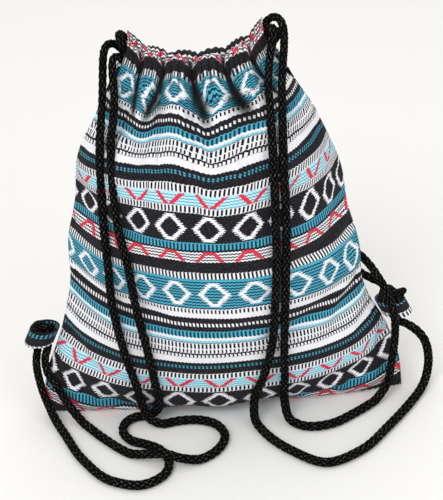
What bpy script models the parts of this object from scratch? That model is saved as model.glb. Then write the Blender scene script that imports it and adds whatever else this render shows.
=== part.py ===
"""Drawstring backpack of patterned woven cotton, stuffed and standing on its bottom.

Two cloth panels are sewn together along the sides and the bottom. Each panel's top is turned
inwards as a channel. Two cords run through both channels, one from each side, and go down
to a cloth tab in the side seam, where their ends are knotted.
Metres, +Z up, front towards -Y, origin at the middle of the bottom seam.
"""
import bpy
import numpy as np
from math import pi, sin, cos

# Cloth
CLOTH = 0.0012              # thickness of the woven cotton
SEAM_GAP = 0.0003           # air between the two panels where they are sewn
COLUMNS = 44                # divisions of a panel across its width
ROWS = 15                   # divisions of a panel from the bottom seam to the rim
ROW_CROWDING = 1.05         # above 1 puts the rows closer together at the bottom

# Filled bag, measured to the middle of the cloth
SIDE_LINE = [               # height of the side seam, half width of the bag there
    (0.000, 0.1825), (0.040, 0.1790), (0.070, 0.1680), (0.095, 0.1560), (0.125, 0.1460),
    (0.160, 0.1400), (0.205, 0.1355), (0.250, 0.1270), (0.290, 0.1140), (0.330, 0.0945),
    (0.365, 0.0740), (0.400, 0.0580)]
DEPTH_LINE = [              # height of the middle, distance from the seam plane there
    (0.000, 0.0340), (0.012, 0.0450), (0.040, 0.0560), (0.085, 0.0625), (0.150, 0.0640),
    (0.210, 0.0590), (0.260, 0.0490), (0.305, 0.0350), (0.330, 0.0250), (0.400, 0.0181)]
BASE_DEPTH = 0.0340         # half depth of the part that lies on the ground
BASE_FADE = 3.0             # how squarely that part ends towards the corners
BELLY_FADE = 2.7            # how squarely the belly ends towards the side seams
BASE_RISE = 0.0600          # height at which the belly's outline has replaced the base's
CORNER_FORWARD = 0.0200     # how far the empty bottom corners are swung forward
CORNER_FADE = 4.0           # how sharply that is kept to the corners
CORNER_HEIGHT = 0.1000      # height at which it has gone

# Gathered mouth
RIM_MIDDLE = 0.3640         # height of the rim in the middle
RIM_END = 0.3940            # height of the rim over the side seams
RIM_FADE = 2.2              # how late the rim rises towards the side seams
RIM_TILT = 0.0015           # how much higher the right end is than the mean
CHANNEL_DEPTH = 0.0300      # rim to the stitch line
CHANNEL_CLEAR = 0.0096      # free width inside the channel
CHANNEL_MIDDLE = 0.0107     # distance from the seam plane to the middle of the channel
FLAP_GAP = 0.0009           # air between the flap and the panel at the stitch line
FLAP_STRAIGHT = 0.74        # share of the flap that hangs straight
CHANNEL_TURNS = 4           # divisions of the rim fold
CHANNEL_DROPS = 4           # divisions of the turned-in flap below it
OPEN_FROM = 0.86            # share of the height where the side seam ends
OPEN_FULL = 0.95            # share of the height where the channels stand fully apart
PLEAT_DEPTH = 0.0085        # how far a pleat stands out at the stitch line
PLEAT_LIFT = 0.0070         # how much a pleat is pushed up at the rim
PLEAT_REACH = 0.0620        # distance below the stitch line at which pleats have faded by 1/e
PLEATS_FROM = 0.30          # share of the height where the pleats begin
PLEATS_FULL = 0.60          # share of the height where nothing holds them back
PLEAT_RIM = 0.55            # share of the pleat depth that is left at the rim
FRONT_PLEATS = [            # place across the mouth from -1 to 1, half width, share of the depth
    (-0.84, 0.15, 0.60), (-0.53, 0.13, 1.00), (-0.25, 0.13, 0.95), (0.13, 0.16, 1.00),
    (0.47, 0.14, 0.85), (0.80, 0.17, 0.70)]
BACK_PLEATS = [
    (-0.82, 0.14, 0.70), (-0.50, 0.15, 1.00), (-0.17, 0.14, 0.80), (0.16, 0.15, 0.95),
    (0.49, 0.14, 0.90), (0.81, 0.15, 0.65)]

# Cloth tabs in the side seams
TAB_HEIGHT = 0.0850         # height of the middle of a tab
TAB_WIDTH = 0.0200          # width of its strip
TAB_REACH = 0.0290          # how far the loop stands out of the seam
TAB_HOLE = 0.0240           # greatest free width of the loop, which the knot sits in
TAB_CLOTH = 0.0014          # thickness of the strip
TAB_GAP = 0.0024            # air between the strip and the seam
TAB_STEPS = 16              # divisions round the loop
TAB_ROWS = 2                # divisions across the strip

# Cords
CORD_DIAMETER = 0.0077
CORD_STEPS = 80             # points of the tube along a cord
FINE_STEPS = 1200           # points of the smooth curve that they are taken from
BEND_WORTH = 0.0300         # length that a turn by one radian counts as
KNOT_CORD = 0.0056          # the cord is pulled thin in its knot
KNOT_SIZE = 0.0030          # scale of the knot's path
KNOT_RISE = 1.15            # how much the turns of a knot stand above each other
KNOT_STEPS = 32             # points of the tube round a knot
KNOT_LEFT = (-0.1750, -0.0012, 0.0895)
KNOT_RIGHT = (0.1750, -0.0012, 0.0895)

# Routes of the cords, from one knotted end to the other
LEFT_ROUTE = [
    (-0.1745, -0.0035, 0.0690), (-0.1780, -0.0107, 0.0600), (-0.1765, -0.0205, 0.0500), (-0.1675, -0.0295, 0.0370),
    (-0.1580, -0.0380, 0.0200), (-0.1460, -0.0490, 0.0070), (-0.1240, -0.0760, 0.0042),
    (-0.0960, -0.1040, 0.0050), (-0.0780, -0.1140, 0.0108), (-0.0610, -0.1200, 0.0146),
    (-0.0440, -0.1240, 0.0104), (-0.0260, -0.1220, 0.0046), (-0.0090, -0.1090, 0.0042),
    (-0.0020, -0.0880, 0.0042), (-0.0100, -0.0690, 0.0042), (-0.0270, -0.0600, 0.0042),
    (-0.0460, -0.0590, 0.0042), (-0.0630, -0.0620, 0.0050), (-0.0750, -0.0610, 0.0110),
    (-0.0810, -0.0600, 0.0260), (-0.0850, -0.0600, 0.0500), (-0.0930, -0.0570, 0.0900),
    (-0.1000, -0.0490, 0.1400), (-0.1000, -0.0440, 0.1900), (-0.1000, -0.0370, 0.2300),
    (-0.0980, -0.0290, 0.2700), (-0.0950, -0.0240, 0.3080), (-0.0915, -0.0240, 0.3290),
    (-0.0885, -0.0230, 0.3480), (-0.0865, -0.0205, 0.3640), (-0.0852, -0.0168, 0.3760),
    (-0.0842, -0.0115, 0.3840), (-0.0825, -0.0045, 0.3893), (-0.0795, 0.0025, 0.3905),
    (-0.0750, 0.0080, 0.3885), (-0.0706, 0.0107, 0.3841), (-0.0663, 0.0107, 0.3784),
    (-0.0617, 0.0107, 0.3731), (-0.0552, 0.0107, 0.3675), (-0.0405, 0.0107, 0.3592),
    (-0.0203, 0.0107, 0.3536), (0.0000, 0.0107, 0.3524), (0.0207, 0.0107, 0.3544),
    (0.0406, 0.0107, 0.3609), (0.0551, 0.0107, 0.3700), (0.0612, 0.0107, 0.3760),
    (0.0656, 0.0107, 0.3815), (0.0683, 0.0100, 0.3865), (0.0715, 0.0068, 0.3900),
    (0.0728, 0.0000, 0.3912), (0.0715, -0.0068, 0.3900), (0.0683, -0.0100, 0.3865),
    (0.0656, -0.0107, 0.3815), (0.0612, -0.0107, 0.3760), (0.0551, -0.0107, 0.3700),
    (0.0406, -0.0107, 0.3609), (0.0207, -0.0107, 0.3544), (0.0000, -0.0107, 0.3524),
    (-0.0203, -0.0107, 0.3536), (-0.0405, -0.0107, 0.3592), (-0.0552, -0.0107, 0.3675),
    (-0.0617, -0.0107, 0.3731), (-0.0663, -0.0107, 0.3784), (-0.0695, -0.0115, 0.3832),
    (-0.0730, -0.0145, 0.3855), (-0.0752, -0.0190, 0.3845), (-0.0762, -0.0230, 0.3795),
    (-0.0765, -0.0258, 0.3720), (-0.0768, -0.0268, 0.3620), (-0.0773, -0.0270, 0.3490),
    (-0.0805, -0.0280, 0.3300), (-0.0840, -0.0280, 0.3130), (-0.0870, -0.0360, 0.2680),
    (-0.0860, -0.0480, 0.2290), (-0.0800, -0.0560, 0.1850), (-0.0770, -0.0600, 0.1450),
    (-0.0710, -0.0630, 0.1000), (-0.0670, -0.0620, 0.0600), (-0.0650, -0.0580, 0.0330),
    (-0.0680, -0.0530, 0.0160), (-0.0780, -0.0480, 0.0070), (-0.0910, -0.0480, 0.0042),
    (-0.1010, -0.0560, 0.0042), (-0.1030, -0.0710, 0.0042), (-0.0950, -0.0840, 0.0042),
    (-0.0800, -0.0920, 0.0042), (-0.0660, -0.1020, 0.0042), (-0.0580, -0.1180, 0.0042),
    (-0.0610, -0.1370, 0.0042), (-0.0810, -0.1510, 0.0042), (-0.1120, -0.1430, 0.0042),
    (-0.1420, -0.1080, 0.0042), (-0.1640, -0.0620, 0.0042), (-0.1760, -0.0380, 0.0120),
    (-0.1845, -0.0240, 0.0350), (-0.1870, -0.0110, 0.0590), (-0.1845, -0.0045, 0.0690)]
RIGHT_ROUTE = [
    (0.1800, -0.0030, 0.0690), (0.1885, -0.0048, 0.0655), (0.1985, -0.0060, 0.0580), (0.2075, -0.0080, 0.0460),
    (0.2110, -0.0150, 0.0280), (0.2060, -0.0280, 0.0110), (0.1930, -0.0480, 0.0042),
    (0.1600, -0.0910, 0.0042), (0.1280, -0.1250, 0.0042), (0.0940, -0.1390, 0.0042),
    (0.0620, -0.1180, 0.0042), (0.0390, -0.0900, 0.0042), (0.0290, -0.0680, 0.0080),
    (0.0300, -0.0605, 0.0260), (0.0400, -0.0650, 0.0560), (0.0490, -0.0678, 0.0900),
    (0.0550, -0.0670, 0.1400), (0.0590, -0.0630, 0.1850), (0.0600, -0.0590, 0.2260),
    (0.0610, -0.0520, 0.2600), (0.0615, -0.0430, 0.2900), (0.0615, -0.0345, 0.3180),
    (0.0614, -0.0310, 0.3393), (0.0610, -0.0290, 0.3535), (0.0620, -0.0275, 0.3660),
    (0.0635, -0.0268, 0.3770), (0.0650, -0.0260, 0.3870), (0.0668, -0.0240, 0.3955),
    (0.0680, -0.0207, 0.4010), (0.0678, -0.0165, 0.4030), (0.0660, -0.0128, 0.4010),
    (0.0633, -0.0108, 0.3968), (0.0612, -0.0107, 0.3916), (0.0582, -0.0107, 0.3868),
    (0.0544, -0.0107, 0.3822), (0.0491, -0.0107, 0.3770), (0.0368, -0.0107, 0.3692),
    (0.0190, -0.0107, 0.3634), (0.0000, -0.0107, 0.3616), (-0.0189, -0.0107, 0.3627),
    (-0.0369, -0.0107, 0.3677), (-0.0497, -0.0107, 0.3749), (-0.0552, -0.0107, 0.3796),
    (-0.0591, -0.0107, 0.3841), (-0.0622, -0.0107, 0.3885), (-0.0648, -0.0103, 0.3930),
    (-0.0670, -0.0081, 0.3969), (-0.0684, -0.0043, 0.3990), (-0.0688, 0.0000, 0.3998),
    (-0.0684, 0.0043, 0.3990), (-0.0670, 0.0081, 0.3969), (-0.0648, 0.0103, 0.3930),
    (-0.0622, 0.0107, 0.3885), (-0.0591, 0.0107, 0.3841), (-0.0552, 0.0107, 0.3796),
    (-0.0497, 0.0107, 0.3749), (-0.0369, 0.0107, 0.3677), (-0.0189, 0.0107, 0.3627),
    (0.0000, 0.0107, 0.3616), (0.0190, 0.0107, 0.3634), (0.0368, 0.0107, 0.3692),
    (0.0491, 0.0107, 0.3770), (0.0544, 0.0107, 0.3822), (0.0582, 0.0107, 0.3868),
    (0.0612, 0.0107, 0.3916), (0.0635, 0.0102, 0.3970), (0.0670, 0.0082, 0.4015),
    (0.0710, 0.0040, 0.4043), (0.0745, -0.0015, 0.4048), (0.0770, -0.0075, 0.4022),
    (0.0780, -0.0125, 0.3955), (0.0773, -0.0175, 0.3860), (0.0758, -0.0217, 0.3745),
    (0.0743, -0.0245, 0.3630), (0.0733, -0.0260, 0.3500), (0.0728, -0.0277, 0.3360),
    (0.0722, -0.0305, 0.3170), (0.0715, -0.0355, 0.3000), (0.0705, -0.0485, 0.2600),
    (0.0700, -0.0555, 0.2220), (0.0680, -0.0600, 0.1850), (0.0650, -0.0640, 0.1400),
    (0.0620, -0.0650, 0.0900), (0.0610, -0.0610, 0.0450), (0.0600, -0.0600, 0.0200),
    (0.0630, -0.0700, 0.0070), (0.0780, -0.0820, 0.0042), (0.1020, -0.0820, 0.0042),
    (0.1280, -0.0680, 0.0042), (0.1520, -0.0500, 0.0055), (0.1650, -0.0400, 0.0180),
    (0.1710, -0.0320, 0.0400), (0.1750, -0.0260, 0.0640), (0.1750, -0.0220, 0.0880),
    (0.1700, -0.0160, 0.1080), (0.1620, -0.0060, 0.1230), (0.1540, 0.0070, 0.1320),
    (0.1450, 0.0200, 0.1370), (0.1360, 0.0300, 0.1370), (0.1300, 0.0350, 0.1290),
    (0.1340, 0.0350, 0.1180), (0.1450, 0.0310, 0.1100), (0.1580, 0.0220, 0.1050),
    (0.1690, 0.0110, 0.1050)]

BLACK = (0.020, 0.019, 0.018, 1.0)
TEAL = (0.075, 0.375, 0.510, 1.0)
PALE = (0.760, 0.770, 0.800, 1.0)


def clearScene():
    for old in list(bpy.data.objects):
        bpy.data.objects.remove(old, do_unlink=True)


def makeMaterial(name, color, roughness):
    material = bpy.data.materials.new(name)
    material.use_nodes = True
    shader = material.node_tree.nodes["Principled BSDF"]
    shader.inputs["Base Color"].default_value = color
    shader.inputs["Roughness"].default_value = roughness
    shader.inputs["Metallic"].default_value = 0.0
    return material


def finishObject(obj, collection, material):
    for owner in list(obj.users_collection):
        owner.objects.unlink(obj)
    collection.objects.link(obj)
    obj.data.materials.append(material)


def smoothLine(points, places):
    """Values of a smooth curve through (place, value) points."""
    knots = np.array([p[0] for p in points])
    values = np.array([p[1] for p in points])
    slopes = np.gradient(values, knots)
    places = np.clip(places, knots[0], knots[-1])
    index = np.clip(np.searchsorted(knots, places, side="right") - 1, 0, len(knots) - 2)
    span = knots[index + 1] - knots[index]
    t = (places - knots[index]) / span
    return ((2 * t**3 - 3 * t**2 + 1) * values[index] + (t**3 - 2 * t**2 + t) * span * slopes[index]
            + (3 * t**2 - 2 * t**3) * values[index + 1] + (t**3 - t**2) * span * slopes[index + 1])


def smoothStep(low, high, value):
    t = np.clip((value - low) / (high - low), 0.0, 1.0)
    return t * t * (3 - 2 * t)


def rimHeight(across):
    return RIM_MIDDLE + (RIM_END - RIM_MIDDLE) * np.abs(across) ** RIM_FADE + RIM_TILT * across


def pleatShare(across, pleats):
    """How far the cloth stands out in pleats, from 0 in a valley to 1 on the highest pleat."""
    share = np.zeros_like(across)
    for place, half, height in pleats:
        near = np.clip(np.abs(across - place) / half, 0.0, 1.0)
        share = np.maximum(share, height * (0.5 + 0.5 * np.cos(pi * near)))
    return share


def cornerSwing(place, height):
    """How far the empty bottom corners are swung forward."""
    return CORNER_FORWARD * np.abs(place) ** CORNER_FADE * (1 - smoothStep(0.0, CORNER_HEIGHT, height))


def panelRow(share, pleats, side):
    """One row of a panel at a share of the way from the bottom seam to the rim."""
    across = np.linspace(-1.0, 1.0, COLUMNS + 1)
    top = rimHeight(across * side)
    under = BASE_DEPTH * (1 - np.abs(across) ** BASE_FADE)       # length that lies on the ground
    travel = share * (top + under)
    height = np.maximum(travel - under, 0.0)
    lying = np.clip(travel / np.maximum(under, 1e-6), 0.0, 1.0)
    height = np.where(lying < 1.0, 0.0, height)
    middle = float(np.interp(0.0, across, height))
    fullness = smoothLine(DEPTH_LINE, height)
    opening = smoothStep(OPEN_FROM, OPEN_FULL, share)
    half = smoothLine(SIDE_LINE, height)
    place = evenPlaces(middle, across)
    belly = (1 - np.abs(place) ** BELLY_FADE) * (1 - opening) + opening
    base = 1 - np.abs(place) ** BASE_FADE
    grown = smoothStep(0.0, BASE_RISE, height)
    depth = fullness * (base * (1 - grown) + belly * grown)
    depth = np.where(lying < 1.0, under * lying, depth)
    outer = CHANNEL_MIDDLE + CHANNEL_CLEAR / 2 + CLOTH / 2
    depth = depth * (1 - opening) + outer * opening
    below = np.maximum(top - CHANNEL_DEPTH - height, 0.0)
    above = np.clip((height - (top - CHANNEL_DEPTH)) / CHANNEL_DEPTH, 0.0, 1.0)
    fade = np.exp(-below / PLEAT_REACH) * (1 - (1 - PLEAT_RIM) * above)
    stand = pleatShare(across, pleats) * smoothStep(PLEATS_FROM, PLEATS_FULL, share)
    depth = depth + PLEAT_DEPTH * stand * fade
    lift = PLEAT_LIFT * stand * np.exp(-np.maximum(top - height, 0.0) / PLEAT_REACH)
    x = half * place
    y = -(depth + (CLOTH + SEAM_GAP) / 2 + side * cornerSwing(place, height))
    z = height + CLOTH / 2 + lift
    return x, y, z


def evenPlaces(height, across):
    """Places across the bag that divide its curved cross-section into equal lengths of cloth."""
    fine = np.linspace(-1.0, 1.0, 401)
    half = float(smoothLine(SIDE_LINE, height))
    depth = float(smoothLine(DEPTH_LINE, height)) * (1 - np.abs(fine) ** BELLY_FADE)
    lengths = np.hypot(np.diff(fine * half), np.diff(depth))
    run = np.concatenate([[0.0], np.cumsum(lengths)])
    return np.interp((across + 1) / 2 * run[-1], run, fine)


def channelRows(outside):
    """The rows of the turned-in flap: over the rim, down inside and back to the stitch line."""
    x, y, z = outside[-1]
    radius = (CHANNEL_CLEAR + CLOTH) / 2
    inner = -(CHANNEL_MIDDLE - radius)
    rows = []
    for turn in range(1, CHANNEL_TURNS + 1):
        angle = pi * turn / CHANNEL_TURNS
        back = (1 - cos(angle)) / 2
        rows.append((x, y + (inner - y) * back, z + radius * sin(angle)))
    for step in range(1, CHANNEL_DROPS + 1):
        part = step / CHANNEL_DROPS
        down = z - CHANNEL_DEPTH * part
        pull = smoothStep(FLAP_STRAIGHT, 1.0, part)
        wall = np.array([np.interp(down[i], [row[2][i] for row in outside], [row[1][i] for row in outside])
                         for i in range(COLUMNS + 1)])
        side = np.array([np.interp(down[i], [row[2][i] for row in outside], [row[0][i] for row in outside])
                         for i in range(COLUMNS + 1)])
        seat = wall + CLOTH + FLAP_GAP
        rows.append((x + (side - x) * part, inner + (seat - inner) * pull, down))
    return rows


def makePanel(name, pleats, front, collection, material):
    shares = np.linspace(0.0, 1.0, ROWS + 1) ** ROW_CROWDING
    rows = [panelRow(share, pleats, 1 if front else -1) for share in shares]
    rows += channelRows(rows)
    bpy.ops.mesh.primitive_grid_add(x_subdivisions=COLUMNS, y_subdivisions=len(rows) - 1, size=2)
    panel = bpy.context.object
    panel.name = name
    panel.data.name = name
    for vertex in panel.data.vertices:
        column = round((vertex.co.x + 1) / 2 * COLUMNS)
        row = round((vertex.co.y + 1) / 2 * (len(rows) - 1))
        x, y, z = (axis[column] for axis in rows[row])
        vertex.co = (x, y, z) if front else (-x, -y, z)
    panel.data.update()
    wall = panel.modifiers.new("Cloth", "SOLIDIFY")
    wall.thickness = CLOTH
    wall.offset = 0.0
    wall.use_rim = True
    panel.data.shade_smooth()
    finishObject(panel, collection, material)
    return panel


def makeTab(name, side, collection, material):
    """A strip of cloth folded into a loop, both its ends at the side seam."""
    bpy.ops.mesh.primitive_grid_add(x_subdivisions=TAB_STEPS, y_subdivisions=TAB_ROWS, size=2)
    tab = bpy.context.object
    tab.name = name
    tab.data.name = name
    start = (TAB_CLOTH + SEAM_GAP) / (TAB_HOLE + TAB_CLOTH)      # keeps the two ends apart
    for vertex in tab.data.vertices:
        height = TAB_HEIGHT + vertex.co.y * TAB_WIDTH / 2
        angle = start + (vertex.co.x + 1) / 2 * (2 * pi - 2 * start)
        seam = float(smoothLine(SIDE_LINE, height - CLOTH / 2)) + TAB_GAP
        out = seam + TAB_REACH * (cos(start) - cos(angle)) / (1 + cos(start))
        across = (TAB_HOLE + TAB_CLOTH) / 2 * sin(angle) + float(cornerSwing(1.0, height))
        vertex.co = (side * out, -across, height)
    wall = tab.modifiers.new("Cloth", "SOLIDIFY")
    wall.thickness = TAB_CLOTH
    wall.offset = 0.0
    tab.data.shade_smooth()
    if side < 0:
        tab.data.flip_normals()
    finishObject(tab, collection, material)
    return tab


def makeTube(name, points, thickness, closed, collection, material):
    """A round cord through the given points."""
    curve = bpy.data.curves.new(name, "CURVE")
    curve.dimensions = "3D"
    spline = curve.splines.new("POLY")
    spline.points.add(len(points) - 1)
    for target, point in zip(spline.points, points):
        target.co = (*point, 1.0)
    spline.use_cyclic_u = closed
    curve.bevel_depth = thickness / 2
    curve.bevel_resolution = 2
    curve.use_fill_caps = True
    tube = bpy.data.objects.new(name, curve)
    collection.objects.link(tube)
    curve.materials.append(material)
    return tube


def cordPoints(route):
    """Points of a smooth curve through a cord's route, closest together where it bends most."""
    line = np.array(route)
    run = np.concatenate([[0.0], np.cumsum(np.linalg.norm(np.diff(line, axis=0), axis=1))])
    fine = np.linspace(0.0, run[-1], FINE_STEPS)
    curve = np.stack([smoothLine(list(zip(run, line[:, axis])), fine) for axis in range(3)], axis=1)
    curve[:, 2] = np.maximum(curve[:, 2], CORD_DIAMETER / 2 + SEAM_GAP)       # it lies on the ground
    steps = np.diff(curve, axis=0)
    lengths = np.linalg.norm(steps, axis=1)
    bends = np.linalg.norm(np.diff(steps / lengths[:, None], axis=0, append=0), axis=1)
    bends[-1] = 0.0
    worth = np.concatenate([[0.0], np.cumsum(lengths + BEND_WORTH * bends)])
    places = np.interp(np.linspace(0.0, worth[-1], CORD_STEPS), worth, np.arange(FINE_STEPS))
    return [tuple(np.interp(place, np.arange(FINE_STEPS), curve[:, axis]) for axis in range(3))
            for place in places]


def knotPoints(center):
    """An overhand knot pulled into a ball, standing upright with its face to the front."""
    points = []
    for step in range(KNOT_STEPS):
        turn = 2 * pi * step / KNOT_STEPS
        points.append((center[0] + KNOT_SIZE * (sin(turn) + 2 * sin(2 * turn)),
                       center[1] + KNOT_SIZE * KNOT_RISE * sin(3 * turn),
                       center[2] + KNOT_SIZE * (cos(turn) - 2 * cos(2 * turn))))
    return points


def main():
    clearScene()
    bag = bpy.data.collections.new("drawstring_backpack")
    bpy.context.scene.collection.children.link(bag)
    frontCloth = makeMaterial("front woven cotton", TEAL, 0.85)
    backCloth = makeMaterial("back woven cotton", TEAL, 0.85)
    makePanel("front_panel", FRONT_PLEATS, True, bag, frontCloth)
    makePanel("back_panel", BACK_PLEATS, False, bag, backCloth)
    for name, side in (("left", -1), ("right", 1)):
        makeTab(name + "_tab", side, bag, makeMaterial(name + " tab cotton", PALE, 0.85))
    for name, route, knot in (("left", LEFT_ROUTE, KNOT_LEFT), ("right", RIGHT_ROUTE, KNOT_RIGHT)):
        braid = makeMaterial(name + " braided cord", BLACK, 0.75)
        makeTube(name + "_drawcord", cordPoints(route), CORD_DIAMETER, False, bag, braid)
        knotBraid = makeMaterial(name + " knot", BLACK, 0.75)
        makeTube(name + "_knot", knotPoints(knot), KNOT_CORD, True, bag, knotBraid)


main()
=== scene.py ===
import math
import bpy
import numpy as np
from mathutils import Matrix, Vector


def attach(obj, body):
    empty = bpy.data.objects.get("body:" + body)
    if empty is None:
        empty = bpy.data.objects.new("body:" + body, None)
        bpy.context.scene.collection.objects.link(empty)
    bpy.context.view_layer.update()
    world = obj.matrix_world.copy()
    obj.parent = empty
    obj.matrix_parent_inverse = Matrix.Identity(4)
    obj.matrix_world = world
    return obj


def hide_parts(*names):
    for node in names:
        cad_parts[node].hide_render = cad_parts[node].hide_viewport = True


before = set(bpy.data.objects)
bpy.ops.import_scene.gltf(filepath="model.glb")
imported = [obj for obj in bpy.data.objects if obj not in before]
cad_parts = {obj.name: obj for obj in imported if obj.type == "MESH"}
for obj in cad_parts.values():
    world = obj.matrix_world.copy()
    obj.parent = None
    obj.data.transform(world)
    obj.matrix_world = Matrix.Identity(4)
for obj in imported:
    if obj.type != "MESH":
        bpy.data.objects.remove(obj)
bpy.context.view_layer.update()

scene = bpy.context.scene
scene.view_settings.view_transform = "Standard"


# Camera, at the photograph's viewing angle

cameraSettings = {
    "distance": 1.4, "elevation": 32.0, "roll": 4.3, "aim": (0.0083, 0.0, 0.166),
    "metresPerPixel": 0.00098, "imageHeight": 500, "sensor": 36.0, "farthest": 20}


def makeCamera(c):
    tilt, roll = math.radians(c["elevation"]), math.radians(c["roll"])
    forward = Vector((0, math.cos(tilt), -math.sin(tilt)))
    right = Vector((1, 0, 0))
    up = right.cross(forward)
    rolledRight = right * math.cos(roll) - up * math.sin(roll)
    rolledUp = up * math.cos(roll) + right * math.sin(roll)
    data = bpy.data.cameras.new("camera")
    data.sensor_fit = "VERTICAL"
    data.sensor_height = c["sensor"]
    data.lens = c["distance"] / c["metresPerPixel"] / c["imageHeight"] * c["sensor"]
    data.clip_end = c["farthest"]
    camera = linkObject("camera", data)
    place = Matrix((rolledRight, rolledUp, -forward)).transposed().to_4x4()
    place.translation = Vector(c["aim"]) - forward * c["distance"]
    camera.matrix_world = place
    scene.camera = camera


# Shader maths as plain expressions

class Socket:
    def __init__(self, tree, out):
        self.tree = tree
        self.out = out

    def node(self, kind, inputs=(), settings=None, output=0):
        made = self.tree.nodes.new(kind)
        for key, value in (settings or {}).items():
            if key == "stops":
                setStops(made.color_ramp, value)
            else:
                setattr(made, key, value)
        pairs = inputs.items() if isinstance(inputs, dict) else enumerate(inputs)
        for key, value in pairs:
            if isinstance(value, Socket):
                self.tree.links.new(value.out, made.inputs[key])
            else:
                made.inputs[key].default_value = value
        return Socket(self.tree, made.outputs[output])

    def math(self, operation, *others):
        return self.node("ShaderNodeMath", (self,) + others, {"operation": operation})

    def parts(self):
        split = self.node("ShaderNodeSeparateXYZ", (self,)).out.node
        return [Socket(self.tree, out) for out in split.outputs]

    def noise(self, scale, detail):
        return self.node("ShaderNodeTexNoise", {"Vector": self, "Scale": scale, "Detail": detail})

    def bump(self, strength):
        return self.node("ShaderNodeBump", {"Height": self, "Strength": strength, "Distance": 1.0})

    def __add__(self, other): return self.math("ADD", other)
    def __radd__(self, other): return self.math("ADD", other)
    def __sub__(self, other): return self.math("SUBTRACT", other)
    def __rsub__(self, other): return (self * -1.0) + other
    def __mul__(self, other): return self.math("MULTIPLY", other)
    def __rmul__(self, other): return self.math("MULTIPLY", other)
    def __truediv__(self, other): return self.math("DIVIDE", other)
    def __gt__(self, other): return self.math("GREATER_THAN", other)
    def __lt__(self, other): return self.math("LESS_THAN", other)
    def fract(self): return self.math("FRACT")
    def floor(self): return self.math("FLOOR")
    def abs(self): return self.math("ABSOLUTE")
    def sin(self): return self.math("SINE")
    def wrap(self, high): return self.math("FLOORED_MODULO", high)
    def most(self, other): return self.math("MAXIMUM", other)
    def least(self, other): return self.math("MINIMUM", other)
    def clamp(self): return self.most(0.0).least(1.0)
    def between(self, low, high): return (self > low) * (self < high)


def setStops(ramp, stops):
    ramp.interpolation = "CONSTANT"
    while len(ramp.elements) > 1:
        ramp.elements.remove(ramp.elements[-1])
    ramp.elements[0].position = stops[0][0]
    ramp.elements[0].color = stops[0][1]
    for position, color in stops[1:]:
        ramp.elements.new(position).color = color


def startMaterial(name, roughness, specular=0.2):
    material = bpy.data.materials.new(name)
    material.use_nodes = True
    tree = material.node_tree
    shader = tree.nodes["Principled BSDF"]
    shader.inputs["Roughness"].default_value = roughness
    shader.inputs["Specular IOR Level"].default_value = specular
    return material, tree, shader


def attributeSocket(tree, name):
    node = tree.nodes.new("ShaderNodeAttribute")
    node.attribute_name = name
    return Socket(tree, node.outputs["Vector"])


# The Mix node keeps its two colors at inputs 6 and 7, and the mixed color at output 2

def blendColor(factor, low, high):
    return factor.node("ShaderNodeMix", {0: factor, 6: low, 7: high}, {"data_type": "RGBA"}, 2)


# Tables of (place, value) read as smooth curves, and steps with soft ends

def spreadSteps(points, places):
    knots = np.array([p[0] for p in points])
    values = np.array([p[1] for p in points])
    slopes = np.gradient(values, knots)
    places = np.clip(places, knots[0], knots[-1])
    index = np.clip(np.searchsorted(knots, places, side="right") - 1, 0, len(knots) - 2)
    span = knots[index + 1] - knots[index]
    t = (places - knots[index]) / span
    return ((2 * t**3 - 3 * t**2 + 1) * values[index] + (t**3 - 2 * t**2 + t) * span * slopes[index]
            + (3 * t**2 - 2 * t**3) * values[index + 1] + (t**3 - t**2) * span * slopes[index + 1])


def smoothStep(low, high, value):
    t = np.clip((value - low) / (high - low), 0.0, 1.0)
    return t * t * (3 - 2 * t)


# Meshes

def meshObject(name, coords, faces):
    mesh = bpy.data.meshes.new(name)
    mesh.from_pydata([tuple(p) for p in np.asarray(coords).tolist()], [], faces)
    mesh.shade_smooth()
    mesh.update()
    return linkObject(name, mesh)


def linkObject(name, data):
    obj = bpy.data.objects.new(name, data)
    scene.collection.objects.link(obj)
    return obj


def gridFaces(index, turned=False):
    quads = np.stack([index[:-1, :-1], index[:-1, 1:], index[1:, 1:], index[1:, :-1]], -1).reshape(-1, 4)
    return [tuple(q) for q in (quads[:, ::-1] if turned else quads).tolist()]


def addVectors(obj, name, vectors):
    layer = obj.data.attributes.new(name, "FLOAT_VECTOR", "POINT")
    layer.data.foreach_set("vector", np.asarray(vectors).astype(np.float32).ravel())


def finishedMesh(obj):
    return bpy.data.meshes.new_from_object(obj.evaluated_get(bpy.context.evaluated_depsgraph_get()))


def thicken(obj, thickness):
    wall = obj.modifiers.new("cloth", "SOLIDIFY")
    wall.thickness = thickness
    wall.offset = 0.0
    wall.use_rim = True
    made = finishedMesh(obj)
    obj.modifiers.clear()
    obj.data = made


# Cords, braided cotton along their real routes, in millimetres. From the tab a cord goes up to the
# mouth, along one channel (across, up), through the turn, back along the other one, and down to the tab.

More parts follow.
